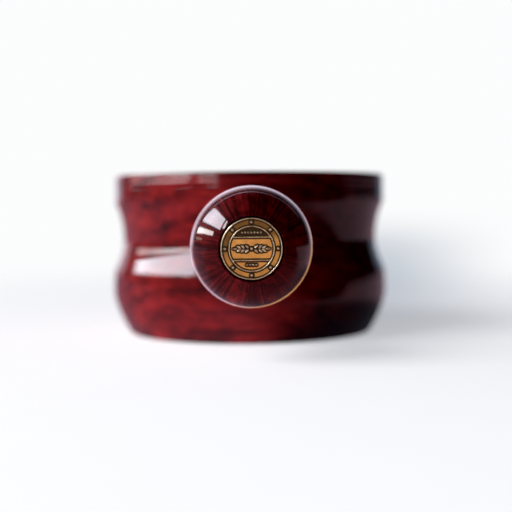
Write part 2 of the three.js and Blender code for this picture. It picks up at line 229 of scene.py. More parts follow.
class Nodes:
    """A short way to write a node tree: the given one, or a new material's."""

    def __init__(self, name="", tree=None):
        if tree is not None:
            self.tree = tree
            return
        self.material = bpy.data.materials.new(name)
        self.material.use_nodes = True
        self.tree = self.material.node_tree
        self.shader = self.tree.nodes["Principled BSDF"]

    def add(self, kind, values=None, **settings):
        node = self.tree.nodes.new("ShaderNode" + kind)
        for key, value in settings.items():
            setattr(node, key, value)
        for key, value in (values or {}).items():
            self.set(node.inputs[key], value)
        return node

    def set(self, socket, value):
        if isinstance(value, bpy.types.NodeSocket):
            self.tree.links.new(value, socket)
        else:
            socket.default_value = value

    def principled(self, **values):
        for key, value in values.items():
            self.set(self.shader.inputs[key.replace("_", " ")], value)
        return self.material

    def position(self):
        """The point's place in millimetres, in the row frame; it turns with the piece."""
        place = self.add("TexCoord").outputs["Object"]
        return self.add("VectorMath", {0: place, "Scale": 1000.0}, operation="SCALE").outputs["Vector"]

    def stretch(self, vector, scale, offset=(0, 0, 0)):
        node = self.add("Mapping", {"Vector": vector, "Scale": scale, "Location": offset})
        return node.outputs["Vector"]

    def noise(self, vector, scale, detail=4.0, roughness=0.55, distortion=0.0):
        values = {
            "Vector": vector, "Scale": scale, "Detail": detail,
            "Roughness": roughness, "Distortion": distortion,
        }
        return self.add("TexNoise", values).outputs["Fac"]

    def cells(self, vector, scale, feature="F1", randomness=1.0):
        values = {"Vector": vector, "Scale": scale, "Randomness": randomness}
        return self.add("TexVoronoi", values, feature=feature)

    def maths(self, operation, a, b=0.0, clamp=False):
        node = self.add("Math", operation=operation, use_clamp=clamp)
        self.set(node.inputs[0], a)
        self.set(node.inputs[1], b)
        return node.outputs[0]

    def centred(self, value, weight):
        """A noise's swing about its middle, times a weight."""
        return self.maths("MULTIPLY", self.maths("SUBTRACT", value, 0.5), weight)

    def range(self, value, low, high, to_low=0.0, to_high=1.0, smooth_step=True):
        node = self.add("MapRange", {"Value": value, "From Min": low, "From Max": high})
        node.interpolation_type = "SMOOTHSTEP" if smooth_step else "LINEAR"
        self.set(node.inputs["To Min"], to_low)
        self.set(node.inputs["To Max"], to_high)
        return node.outputs["Result"]

    def ramp(self, value, stops):
        node = self.add("ValToRGB", {"Fac": value})
        while len(node.color_ramp.elements) < len(stops):
            node.color_ramp.elements.new(0.5)
        for element, (place, colour) in zip(node.color_ramp.elements, stops):
            element.position = place
            element.color = (*colour, 1)
        return node.outputs["Color"]

    def mix(self, factor, a, b, blend="MIX"):
        node = self.add("Mix", data_type="RGBA", blend_type=blend)
        self.set(node.inputs["Factor"], factor)
        for key, value in (("A", a), ("B", b)):
            socket = [s for s in node.inputs if s.name == key and s.type == "RGBA"][0]
            self.set(socket, (*value, 1) if isinstance(value, tuple) else value)
        return [s for s in node.outputs if s.type == "RGBA"][0]

    def bump(self, height, strength, distance_mm, normal=None):
        values = {"Height": height, "Strength": strength, "Distance": distance_mm * MM}
        node = self.add("Bump", values)
        if normal:
            self.set(node.inputs["Normal"], normal)
        return node.outputs["Normal"]

    def about_line(self, spread, along):
        """A place for streaks that follow the handle's line on its sides and fan out on its end: the
        direction away from the line times spread, with the station counted at the scale along."""
        x, y, z = self.split(self.position())
        off = self.maths("SUBTRACT", z, WAIST_HEIGHT)
        out = self.add("CombineXYZ", {0: x, 1: off, 2: 0.0}).outputs[0]
        unit = self.add("VectorMath", {0: out}, operation="NORMALIZE").outputs["Vector"]
        fan = self.add("VectorMath", {0: unit, "Scale": spread}, operation="SCALE").outputs["Vector"]
        station = self.add("CombineXYZ", {2: self.maths("MULTIPLY", y, along)}).outputs[0]
        return self.add("VectorMath", {0: fan, 1: station}, operation="ADD").outputs["Vector"]

    def split(self, vector):
        return self.add("SeparateXYZ", {0: vector}).outputs


def lacquered_wood(name, grain, ring_direction, ring_gap, tones, seed, figure=1.0, rays=0.0):
    """Dark red figured hardwood under clear lacquer. grain is the scale along X, Y and Z that stretches
    the fibres along one of them. ring_direction is the way in which growth rings follow each other.
    figure is the strength of the streaks along the fibres, and rays that of streaks which fan out from
    the handle's line."""
    n = Nodes(name)
    place = n.stretch(n.position(), (1, 1, 1), seed)
    fibres = n.stretch(place, grain)

    # Growth rings, bent by a slow noise, and finer lines between them.
    drift = n.noise(n.stretch(fibres, (0.5, 0.5, 0.5)), 0.12, 3.0)
    crossing = n.add("VectorMath", {0: place, 1: ring_direction}, operation="DOT_PRODUCT").outputs["Value"]
    bent = n.maths("ADD", crossing, n.maths("MULTIPLY", drift, 26.0))
    rings = n.maths("FRACT", n.maths("DIVIDE", bent, ring_gap))
    late_wood = n.maths("MULTIPLY", n.range(rings, 0.35, 0.92), n.range(rings, 1.0, 0.93))

    streaks = n.noise(fibres, 0.55, 6.0, 0.62, 0.4)
    fine = n.noise(fibres, 2.6, 3.0, 0.6)
    clouds = n.noise(n.stretch(place, tuple(0.3 + 0.7 * g for g in grain)), 0.075, 3.0, 0.5, 0.8)

    depth = n.maths("ADD", n.centred(streaks, 0.62 * figure), n.centred(fine, 0.24 * figure))
    depth = n.maths("ADD", depth, n.centred(clouds, 0.55))
    depth = n.maths("SUBTRACT", depth, n.maths("MULTIPLY", late_wood, 0.12 * figure))
    if rays:
        fan = n.noise(n.about_line(40.0, 0.10), 0.5, 4.0, 0.55, 0.2)
        depth = n.maths("ADD", depth, n.centred(fan, rays))
    depth = n.maths("ADD", depth, 0.705)
    tone = n.range(depth, 0.42, 0.95, smooth_step=False)
    colour = n.ramp(tone, tones)

    # Open pores: short dark dashes along the fibres.
    pore_mask = n.range(n.noise(fibres, 7.0, 2.0, 0.5), 0.66, 0.74)
    colour = n.mix(n.maths("MULTIPLY", pore_mask, 0.55 * figure), colour, tones[0][1])

    gloss = n.range(fine, 0.2, 0.8, 0.40, 0.52)
    under = n.bump(n.maths("SUBTRACT", fine, pore_mask), 0.25, 0.05)
    film = n.bump(n.noise(place, 0.35, 2.0), 0.05, 0.12)
    return n.principled(
        Base_Color=colour, Roughness=gloss, Specular_IOR_Level=0.02, Normal=under,
        Coat_Weight=1.0, Coat_Roughness=0.012, Coat_IOR=1.5, Coat_Normal=film,
    )


def turned_brass(name, base, dull, about_line=True):
    """Lathe-turned brass: fine rings about the handle's line, and a thin uneven tarnish."""
    n = Nodes(name)
    place = n.position()
    x, y, z = n.split(place)
    off = n.maths("SUBTRACT", z, WAIST_HEIGHT)
    radius = n.maths("SQRT", n.maths("ADD", n.maths("MULTIPLY", x, x), n.maths("MULTIPLY", off, off)))
    rings = n.add("CombineXYZ", {0: radius, 1: y, 2: 0.0}).outputs[0]
    lines = n.noise(rings, 9.0, 4.0, 0.7)
    tarnish = n.range(n.noise(place, 0.28, 5.0, 0.6), 0.4, 0.72)
    colour = n.mix(n.maths("MULTIPLY", tarnish, 0.6), base, dull)
    rough = n.maths("ADD", n.range(lines, 0.3, 0.7, 0.16, 0.26), n.maths("MULTIPLY", tarnish, 0.14))
    return n.principled(
        Base_Color=colour, Metallic=1.0, Roughness=rough,
        Normal=n.bump(lines, 0.12, 0.04),
    )


def antique_brass():
    """Struck brass: bright worn relief, warm fields, and a black patina where the relief rises, with painted
    shade that darkens the coin's upper border and the segment above its upper bar.
    """
    n = Nodes("antique_brass")
    place = n.position()
    height = n.add("Attribute", attribute_name="relief").outputs["Fac"]
    patina_and_shade = n.add("Attribute", attribute_name="patina_and_shade").outputs["Fac"]
    speckle = n.noise(place, 2.6, 5.0, 0.7)
    blotch = n.noise(place, 0.45, 3.0, 0.5)
    mottle = n.maths("ADD", n.maths("MULTIPLY", blotch, 0.5), n.maths("MULTIPLY", speckle, 0.5))
    field = n.ramp(mottle, [(0.25, (0.44, 0.20, 0.055)), (0.75, (0.78, 0.42, 0.130))])
    worn = n.range(height, 0.10, 0.26)
    colour = n.mix(worn, field, (1.0, 0.86, 0.58))
    # The dark is partly patina beside the relief and partly painted shade on the upper border and the segment
    # above the upper bar.
    dark = n.maths("MULTIPLY", patina_and_shade, n.range(speckle, 0.15, 0.6, 0.86, 1.0))
    colour = n.mix(dark, colour, (0.013, 0.016, 0.011))
    rough = n.maths("ADD", n.range(worn, 0.0, 1.0, 0.38, 0.24), n.maths("MULTIPLY", dark, 0.2))
    return n.principled(
        Base_Color=colour, Metallic=n.range(dark, 0.0, 1.0, 1.0, 0.8), Roughness=rough,
        Normal=n.bump(speckle, 0.22, 0.05),
    )


def cork_sheet():
    """Pressed cork: packed granules in several browns, with dark specks between them."""
    n = Nodes("cork_sheet")
    place = n.position()
    drift = n.noise(place, 0.9, 3.0)
    wobble = n.add("VectorMath", {0: place, 1: drift}, operation="ADD").outputs["Vector"]
    grain = n.cells(wobble, 0.75)
    tone = n.noise(grain.outputs["Position"], 3.0, 1.0)
    colour = n.ramp(tone, [
        (0.30, (0.22, 0.11, 0.05)), (0.45, (0.44, 0.27, 0.14)), (0.62, (0.56, 0.37, 0.21)),
    ])
    gaps = n.range(n.cells(wobble, 0.75, "DISTANCE_TO_EDGE").outputs["Distance"], 0.0, 0.12)
    colour = n.mix(gaps, (0.10, 0.05, 0.025), colour)
    height = n.maths("ADD", gaps, n.maths("MULTIPLY", n.noise(place, 4.0), 0.5))
    return n.principled(
        Base_Color=colour, Roughness=0.86, Specular_IOR_Level=0.25, Normal=n.bump(height, 0.55, 0.12),
    )


def leather():
    """Dark brown leather with a pebbled grain and a rawer edge."""
    n = Nodes("leather")
    place = n.position()
    pebbles = n.cells(place, 2.2, "SMOOTH_F1").outputs["Distance"]
    tone = n.noise(place, 0.6, 4.0)
    colour = n.ramp(tone, [(0.3, (0.020, 0.010, 0.006)), (0.7, (0.060, 0.030, 0.016))])
    return n.principled(
        Base_Color=colour, Roughness=n.range(tone, 0.2, 0.8, 0.5, 0.7),
        Normal=n.bump(n.maths("SUBTRACT", 1.0, pebbles), 0.5, 0.08),
    )


def rubber():
    """Matt black rubber with a little dust."""
    n = Nodes("rubber")
    place = n.position()
    dust = n.noise(place, 1.5, 5.0)
    colour = n.ramp(dust, [(0.35, (0.010, 0.010, 0.011)), (0.75, (0.028, 0.027, 0.026))])
    return n.principled(
        Base_Color=colour, Roughness=n.range(dust, 0.3, 0.7, 0.55, 0.75),
        Normal=n.bump(n.noise(place, 6.0), 0.2, 0.03),
    )


def resin():
    """Black casting resin, glossy, with a faint unevenness where it met the wood."""
    n = Nodes("resin")
    place = n.position()
    sag = n.noise(place, 0.5, 2.0)
    colour = n.ramp(sag, [(0.3, (0.004, 0.004, 0.005)), (0.7, (0.012, 0.010, 0.012))])
    return n.principled(
        Base_Color=colour, Roughness=n.range(sag, 0.3, 0.7, 0.08, 0.2), Coat_Weight=0.5,
        Normal=n.bump(sag, 0.15, 0.12),
    )


# ---- Materials ----------------------------------------------------------------------------

BOWL_TONES = [
    (0.0, (0.024, 0.0024, 0.0030)),
    (0.35, (0.098, 0.0055, 0.0066)),
    (0.62, (0.200, 0.0095, 0.0108)),
    (1.0, (0.310, 0.0250, 0.0200)),
]
HANDLE_TONES = [
    (0.0, (0.005, 0.0006, 0.0010)),
    (0.38, (0.027, 0.0017, 0.0023)),
    (0.68, (0.084, 0.0047, 0.0058)),
    (1.0, (0.220, 0.0140, 0.0120)),
]

bowl_wood = lacquered_wood("bowl_wood", (0.16, 0.75, 1.0), (0.10, 0.55, 0.80), 7.5, BOWL_TONES, (3, 17, 5))
handle_wood = lacquered_wood(
    "handle_wood", (1.0, 0.03, 1.0), (0.50, 0.05, 0.85), 4.2, HANDLE_TONES, (11, 40, 2), 0.4, 0.6,
)
brass = turned_brass("brass", (0.80, 0.56, 0.24), (0.42, 0.25, 0.10))
coin_brass = antique_brass()


# ---- Bowl ---------------------------------------------------------------------------------

RIM_BEAD_PITCH = 1.97
LOWEST_CREST = 57.8
TOP_TROUGH = LOWEST_CREST + 3.5 * RIM_BEAD_PITCH


def rim_band():
    """The straight band and, above it, the shallow turned beads that end in the rim's rounded edge.
    The beads grow a little deeper towards the rim."""
    points = [(RIM_RADIUS - 0.1, BAND_BOTTOM - 1), (RIM_RADIUS, BAND_BOTTOM)]
    steps = 70
    for i in range(steps + 1):
        t = i / steps
        depth = 0.02 + 0.13 * t
        dip = depth * 0.5 * (1 - math.cos(2 * math.pi * 3.5 * t))
        points.append((RIM_RADIUS - dip, LOWEST_CREST + (TOP_TROUGH - LOWEST_CREST) * t))
    return points


def bowl_outline():
    top = BOWL_HEIGHT
    bottom = BOWL_UNDERSIDE
    foot = (FOOT_RADIUS, bottom)
    belly = (BELLY_RADIUS, BELLY_HEIGHT)
    arris = (ARRIS_RADIUS, ARRIS_HEIGHT)
    waist = (WAIST_RADIUS, WAIST_HEIGHT)
    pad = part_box("foot_pad")[1]
    recess_top = pad[2] / MM + 0.1
    recess_radius = pad[0] / MM + 0.3
    band_start = (RIM_RADIUS - 0.1, BAND_BOTTOM - 1)
    points = [(0, recess_top), (recess_radius, recess_top), (recess_radius, bottom), foot]
    points += bezier(foot, (FOOT_RADIUS + 1, bottom + 0.5), (BELLY_RADIUS, BELLY_HEIGHT - 5.5), belly, 24)
    # The arris is eased: the curves on both sides stop short of it.
    ease = 0.7
    below = (ARRIS_RADIUS + 0.14 * ease, ARRIS_HEIGHT - ease)
    above = (ARRIS_RADIUS - math.sin(ARRIS_SLOPE) * ease, ARRIS_HEIGHT + math.cos(ARRIS_SLOPE) * ease)
    swell = (ARRIS_RADIUS - 7 * math.sin(ARRIS_SLOPE), ARRIS_HEIGHT + 7 * math.cos(ARRIS_SLOPE))
    points += bezier(belly, (BELLY_RADIUS, BELLY_HEIGHT + 3.5), (below[0] + 0.25, below[1] - 1.8), below, 12)
    points += bezier(below, arris, arris, above, 8)
    points += bezier(above, swell, (WAIST_RADIUS, WAIST_HEIGHT - 2.2), waist, 20)
    points += bezier(
        waist, (WAIST_RADIUS, WAIST_HEIGHT + 6), (WAIST_RADIUS + 1.4, BAND_BOTTOM - 4.3), band_start, 20,
    )[:-1]
    points += rim_band()
    edge = points[-1]
    soft = EDGE_ROUND * 0.45
    points += bezier(
        edge, (edge[0], top - soft), (RIM_RADIUS - soft, top), (RIM_RADIUS - EDGE_ROUND, top), 8,
    )
    inner = (RIM_BORE_RADIUS + EDGE_ROUND, top)
    points.append(inner)
    bore = (RIM_BORE_RADIUS, top - EDGE_ROUND)
    points += bezier(inner, (RIM_BORE_RADIUS + soft, top), (RIM_BORE_RADIUS, top - soft), bore, 8)
    bore_waist = (BORE_WAIST_RADIUS, WAIST_HEIGHT)
    points += bezier(
        bore, (RIM_BORE_RADIUS - 0.8, top - 9), (BORE_WAIST_RADIUS, WAIST_HEIGHT + 11), bore_waist, 20,
    )
    floor_edge = (BORE_WAIST_RADIUS - 18, FLOOR_HEIGHT)
    points += bezier(
        bore_waist, (BORE_WAIST_RADIUS + 0.4, WAIST_HEIGHT - 14.5),
        (BORE_WAIST_RADIUS + 1.8, FLOOR_HEIGHT + 0.5), floor_edge, 24,
    )
    points.append((0, FLOOR_HEIGHT))
    return points


def drill(name, radius, start, end, segments=96):
    outline = [(0, start), (radius, start), (radius, end), (0, end)]
    return turn_solid(name, outline, about_handle_line, segments)


def make_bowl():
    piece = turn_solid("bowl_turned", bowl_outline(), about_bowl_axis, 240)
    flange_seat = OUTER_SEAT - FLANGE_POCKET_DEPTH
    cut(piece, [
        drill("inner_seat", INNER_SEAT_RADIUS, INNER_SEAT - 8, INNER_SEAT),
        drill("bush_hole", INSERT_BORE, INNER_SEAT - OVERRUN, OUTER_SEAT + OVERRUN),
        drill("flange_seat", FLANGE_POCKET_RADIUS, flange_seat, OUTER_SEAT + OVERRUN),
        drill("outer_seat", COLLAR_RADIUS + 0.3, OUTER_SEAT, BELLY_RADIUS + OVERRUN),
    ])
    smooth(piece)
    piece.data.materials.append(bowl_wood)
    return piece


def make_foot_pad():
    low, high = box_mm("foot_pad")
    outline = rounded_disc(high.x, low.z, high.z, 0.25)
    piece = turn_solid("foot_pad_cork", outline, about_bowl_axis, 160)
    piece.data.materials.append(cork_sheet())
    return piece


# ---- Hardware in the wall -----------------------------------------------------------------

def make_ring(name, node, material, edge):
    """A finer ring in the place of a CAD ring about the handle's line."""
    low, high = box_mm(node)
    outline = rounded_ring(BORE_RADIUS, high.x, -high.y, -low.y, edge)
    piece = turn_solid(name, outline, about_handle_line, 96)
    piece.data.materials.append(material)
    return piece


def thread(radius, turn, station, start, end):
    """The radius of a right-hand screw thread that runs out at both of its ends."""
    if radius > BOLT_RADIUS + 0.01 or station < start or station > end - 0.3:
        return radius
    phase = (station / THREAD_PITCH - turn / (2 * math.pi)) % 1
    flank = min(phase, 1 - phase) * 2
    run_in = min(1, (station - start) / 2)
    return radius - THREAD_DEPTH * run_in * min(1, max(0, (1 - flank) * 1.25 - 0.1))


def make_bolt():
    head_top = -bolt_high.y
    head_end = head_top + BOLT_HEAD_HEIGHT
    end = -bolt_low.y
    head_radius = bolt_high.x
    shank = BOLT_RADIUS
    tip = end - 0.8
    dome_end = (head_radius, head_end - 0.8)
    points = [(0, head_top)]
    points += bezier(
        (0, head_top), (head_radius / 2, head_top), (head_radius, head_top + 0.8), dome_end, 14,
    )
    points += [(head_radius, head_end - 0.15), (head_radius - 0.15, head_end), (shank, head_end)]
    steps = int((tip - head_end) / THREAD_PITCH * 12)
    for i in range(1, steps + 1):
        points.append((shank, head_end + (tip - head_end) * i / steps))
    points += [(shank - 0.8, end), (0, end)]
    thread_start = -box_mm("bolt_washer")[1].y + 5

    def threaded(radius, turn, station):
        return thread(radius, turn, station, thread_start, end)

    piece = turn_solid("handle_bolt_threaded", points, about_handle_line, 48, wave=threaded, sharp=40)
    slot = bmesh.new()
    bmesh.ops.create_cube(slot, size=1)
    size = Vector((3 * head_radius, 2 * SLOT_DEPTH, SLOT_DEPTH)) * MM
    centre = Vector((0, -head_top, WAIST_HEIGHT)) * MM
    slot.transform(Matrix.Translation(centre) @ Matrix.Diagonal((*size, 1)))
    data = bpy.data.meshes.new("slot")
    slot.to_mesh(data)
    slot.free()
    cutter = bpy.data.objects.new("slot", data)
    bpy.context.scene.collection.objects.link(cutter)
    cut(piece, [cutter])
    smooth(piece, 40)
    piece.data.materials.append(brass)
    return piece


# ---- Collar and handle --------------------------------------------------------------------

def make_collar():
    start, end = -collar_high.y, -collar_low.y
    foot_end = start + 1.6
    bead_start = end - 3
    bead_foot = COLLAR_RADIUS - 1.6
    bead_radius = COLLAR_RADIUS - 0.4
    socket = TENON_RADIUS + 0.1
    socket_floor = end - TENON_LENGTH - 0.1
    edge = 0.2
    points = [(BORE_RADIUS, start), (COLLAR_RADIUS - edge, start)]
    points += [(COLLAR_RADIUS, start + edge), (COLLAR_RADIUS, foot_end - edge)]
    cove_start = (COLLAR_RADIUS - edge, foot_end)
    points.append(cove_start)
    cove_end = (bead_foot, bead_start)
    points += bezier(cove_start, (bead_foot, foot_end + 0.6), (bead_foot - 0.4, bead_start - 1.6), cove_end)
    bead_end = (SHOULDER_RADIUS + 0.3, end)
    points += bezier(cove_end, (bead_radius, bead_start + 0.4), (bead_radius, end - 0.3), bead_end)
    points += [(socket, end), (socket, socket_floor), (BORE_RADIUS, socket_floor)]
    piece = turn_solid("handle_collar_turned", points, about_handle_line, 144)
    piece.data.materials.append(brass)
    return piece


def make_grip():
    tenon_end = SHOULDER - TENON_LENGTH
    bore_end = -box_mm("handle_insert")[0].y + 2
    bead_end = (SHOULDER_RADIUS, SHOULDER + 3.6)
    bead_radius = SHOULDER_RADIUS + 1.3
    join = math.radians(32)
    join_radius = BALL_RADIUS * math.sin(join)
    join_station = BALL_CENTRE - BALL_RADIUS * math.cos(join)
    lead = 3.2
    neck_out = (join_radius - lead * math.cos(join), join_station - lead * math.sin(join))
    points = [(0, bore_end), (INSERT_BORE, bore_end), (INSERT_BORE, tenon_end)]
    points += [(TENON_RADIUS, tenon_end), (TENON_RADIUS, SHOULDER), (SHOULDER_RADIUS, SHOULDER)]
    points += bezier(
        points[-1], (bead_radius, SHOULDER + 0.6), (bead_radius, bead_end[1] - 0.7), bead_end, 14,
    )
    points += bezier(
        bead_end, (SHOULDER_RADIUS - 1.8, bead_end[1] + 5.8), neck_out, (join_radius, join_station), 24,
    )
    lip = 0.012  # the pocket's edge is eased by this angle
    points += arc(BALL_CENTRE, BALL_RADIUS, join - math.pi / 2, math.pi / 2 - POCKET_ANGLE - lip, 72)
    points += [(POCKET_RADIUS, POCKET_EDGE - 0.15), (POCKET_RADIUS, POCKET_FLOOR), (0, POCKET_FLOOR)]
    piece = turn_solid("handle_grip_turned", points, about_handle_line, 192)
    piece.data.materials.append(handle_wood)
    return piece


# ---- Medallion ----------------------------------------------------------------------------

RIM_INNER = COIN_RADIUS - 0.6
RING_RADIUS = 7.2
BAR_OFFSET = 3.7
STRUCK_EDGE = 0.14  # the width of the slope beside a raised line
BORDER_BEADS = 8
BORDER_BEAD_RING = 8.5
BORDER_BEAD = (0.60, 0.42)  # radius and height
ROW_BEAD = (0.40, 0.34)
ROW_OFFSET = 5.15
ROW_PITCH = 1.0
LEAF_LENGTH = 1.7
LEAF_WIDTH = 0.48  # from the middle to one side
PATINA_REACH = 0.42


def raised_line(distance, half_width, height):
    """The height of a rounded raised line at a distance from its middle."""
    crown = 0.8 + 0.2 * np.cos(np.clip(distance / half_width, 0, 1) * np.pi / 2)
    flank = np.clip((distance - half_width) / STRUCK_EDGE, 0, 1)
    return height * crown * (0.5 + 0.5 * np.cos(np.pi * flank))


def dome(x, y, centre, radius, height):
    distance = np.hypot(x - centre[0], y - centre[1])
    return height * np.sqrt(np.clip(1 - (distance / radius) ** 2, 0, 1))


def leaf_height(x, y, leaf):
    """A pointed leaf with a sunk vein, from its stem, turned by an angle."""
    stem, turn, length, width = leaf
    dx, dy = x - stem[0], y - stem[1]
    u = np.clip((dx * math.cos(turn) + dy * math.sin(turn)) / length, 0, 1)
    v = np.abs(dy * math.cos(turn) - dx * math.sin(turn))
    half = width * np.sin(np.pi * u**0.75) + 1e-6
    vein = 0.07 * np.clip(1 - v / 0.07, 0, 1)
    body = 0.30 * np.sqrt(np.clip(1 - (v / half) ** 2, 0, 1))
    return np.where(v < half, body - vein, 0)


def garland():
    """The leaves of both halves of the garland."""
    stations = ((0.9, 0.2, 42), (0.9, -0.2, -42), (2.2, 0.18, 38), (2.2, -0.18, -38),
                (3.4, 0.12, 32), (3.4, -0.12, -32), (4.5, 0.0, 0))
    leaves = []
    for side in (-1, 1):
        for x, y, tilt in stations:
            turn = math.radians(tilt if side > 0 else 180 - tilt)
            leaves.append(((side * x, y), turn, LEAF_LENGTH, LEAF_WIDTH))
    return leaves


def relief(x, y):
    """The height of the struck relief above the coin's field."""
    r = np.hypot(x, y)
    rim_middle = (COIN_RADIUS + RIM_INNER) / 2
    inside = r < RING_RADIUS
    heights = [
        raised_line(np.abs(r - rim_middle), (COIN_RADIUS - RIM_INNER) / 2 - 0.13, 0.40),
        raised_line(np.abs(r - RING_RADIUS), 0.14, 0.30),
        np.where(inside, raised_line(np.abs(np.abs(y) - BAR_OFFSET), 0.15, 0.26), 0),
        np.where(np.abs(x) < 5.2, raised_line(np.abs(y), 0.07, 0.16), 0),
        dome(x, y, (0, 0), 0.62, 0.38),
    ]
    heights += [leaf_height(x, y, leaf) for leaf in garland()]
    for i in range(BORDER_BEADS):
        turn = 2 * math.pi * i / BORDER_BEADS
        centre = (BORDER_BEAD_RING * math.sin(turn), BORDER_BEAD_RING * math.cos(turn))
        heights.append(dome(x, y, centre, *BORDER_BEAD))
    heights += [dome(x, y, (ROW_PITCH * i, ROW_OFFSET), *ROW_BEAD) for i in range(-3, 4)]
    heights += [dome(x, y, (ROW_PITCH * i, -ROW_OFFSET), *ROW_BEAD) for i in (-1.5, -0.5, 0.5, 1.5)]
    return np.max(heights, axis=0)


def make_medallion():
    """The coin as a polar height field on a plain blank, closed at its edge and back."""
    around = 2 * np.pi * np.arange(480) / 480
    radii = np.linspace(0, COIN_RADIUS, 133)[1:]
    x = radii[:, None] * np.cos(around)
    y = radii[:, None] * np.sin(around)
    face = COIN_BACK + COIN_THICKNESS

    def row(xs, ys, stations):
        return [Vector((a, -c, WAIST_HEIGHT + b)) * MM for a, b, c in zip(xs, ys, stations)]

    rows = [row([0], [0], [face + float(relief(0.0, 0.0))])]
    rows += [row(xs, ys, face + relief(xs, ys)) for xs, ys in zip(x, y)]
    rows += [row(x[-1], y[-1], [COIN_BACK] * len(around)), row([0], [0], [COIN_BACK])]
    piece = skin("medallion_struck", rows, False, 60)
    paint_relief(piece, face)
    piece.data.materials.append(coin_brass)
    return piece


def paint_relief(piece, face):
    """Writes each point's height above the field, and how much patina gathers beside the relief, together
    with painted shade on the upper border and the segment above the upper bar.
    """
    places = np.empty(len(piece.data.vertices) * 3)
    piece.data.vertices.foreach_get("co", places)
    x, station, y = (places.reshape(-1, 3) / MM).T
    y = y - WAIST_HEIGHT
    here = np.clip(-station - face, 0, None)
    ring = [PATINA_REACH * np.array((math.cos(a), math.sin(a))) for a in np.arange(8) * math.pi / 4]
    near = np.max([relief(x + dx, y + dy) for dx, dy in ring], axis=0)
    beside = np.clip((near - here) / 0.15, 0, 1)
    r = np.hypot(x, y)
    # Painted shade: the border field gets a little patina all round and shade that grows towards its upper
    # left, and the segment above the upper bar is darkened. Both are darkened only on the field.
    shade_towards_upper_left = 0.5 + 0.5 * np.tanh((y - 0.35 * x - 1.2) * 0.8)
    shaded_top_segment = (r < RING_RADIUS) & (y > BAR_OFFSET)
    border_patina_and_shade = np.where(r > RING_RADIUS, 0.1 + 0.5 * shade_towards_upper_left, 0)
    low = np.clip(1 - here / 0.14, 0, 1)
    dark = np.maximum(beside * 0.95, np.maximum(shaded_top_segment * 0.92, border_patina_and_shade) * low)
    for name, values in (("relief", here), ("patina_and_shade", dark)):
        attribute = piece.data.attributes.new(name, "FLOAT", "POINT")
        attribute.data.foreach_set("value", values.astype(np.float32))


def make_medallion_bed():
    low, high = box_mm("medallion_bed")
    outer = high.x
    inner = COIN_RADIUS + 0.1
    start, lip = -high.y, -low.y
    floor = COIN_BACK - 0.1
    points = [(0, start), (outer, start), (outer, lip - 0.12), (outer - 0.08, lip - 0.04)]
    points += [((outer + inner) / 2, lip), (inner + 0.06, lip - 0.05), (inner, lip - 0.14)]
    points += [(inner, floor), (0, floor)]
    piece = turn_solid("medallion_bed_resin", points, about_handle_line, 160)
    piece.data.materials.append(resin())
    return piece


# ---- Pieces on their bodies ---------------------------------------------------------------

made = {}


def stand_for(piece, node, body):
    made[node] = piece
    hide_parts(node)
    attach(piece, body)


stand_for(make_bowl(), "bowl", "bowl_body")
stand_for(make_foot_pad(), "foot_pad", "bowl_body")
for name, node, material, edge, slot in (
    ("seal_ring_moulded", "seal_ring", rubber(), 0.3, "rubber"),
    ("bolt_washer_turned", "bolt_washer", brass, 0.15, "brass"),
    ("collar_gasket_cut", "collar_gasket", leather(), 0.12, "leather"),
):
    stand_for(make_ring(name, node, material, edge), node, "bowl_body")
stand_for(make_bolt(), "handle_bolt", "bowl_body")
stand_for(make_collar(), "handle_collar", "collar")
stand_for(make_grip(), "handle_grip", "handle")
stand_for(make_medallion(), "medallion", "handle")
stand_for(make_medallion_bed(), "medallion_bed", "handle")

for node in ("wall_bush", "handle_insert"):
    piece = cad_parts[node]
    piece.data.materials.clear()
    piece.data.materials.append(brass)
    smooth(piece)


# ---- Floor, world and light ---------------------------------------------------------------

# Lamp places, sizes and distances are in metres. Places on the floor are in millimetres.
WINDOW_DISTANCE = 1.2
KEY_DISTANCE = 1.6
SIDE_DISTANCE = 1.2
LAMP_WHITE = (1.0, 0.97, 0.98)
BACKDROP = (0.975, 0.978, 0.985)
NEAR_GLOW = (0.945, 0.972, 1.03)
SHADE = (0.50, 0.55, 0.62)
SHADOW_FILL = 0.52
FLOOR_BOUNCE_LEFT = (3.30, 2.70, 2.70)
FLOOR_BOUNCE_RIGHT = (0.02, 0.022, 0.028)
MIRRORED_LEFT = (0.27, 0.20, 0.27)
MIRRORED_FRONT_LEFT = (0.26, 0.09, 0.11)
MIRRORED_FRONT_RIGHT = (0.035, 0.018, 0.018)
MIRRORED_RIGHT = (0.36, 0.23, 0.28)
MIRRORED_NEAR = (0.05, 0.05, 0.065)
BALL_PLACE = Vector((0, -BALL_CENTRE, WAIST_HEIGHT)) * MM


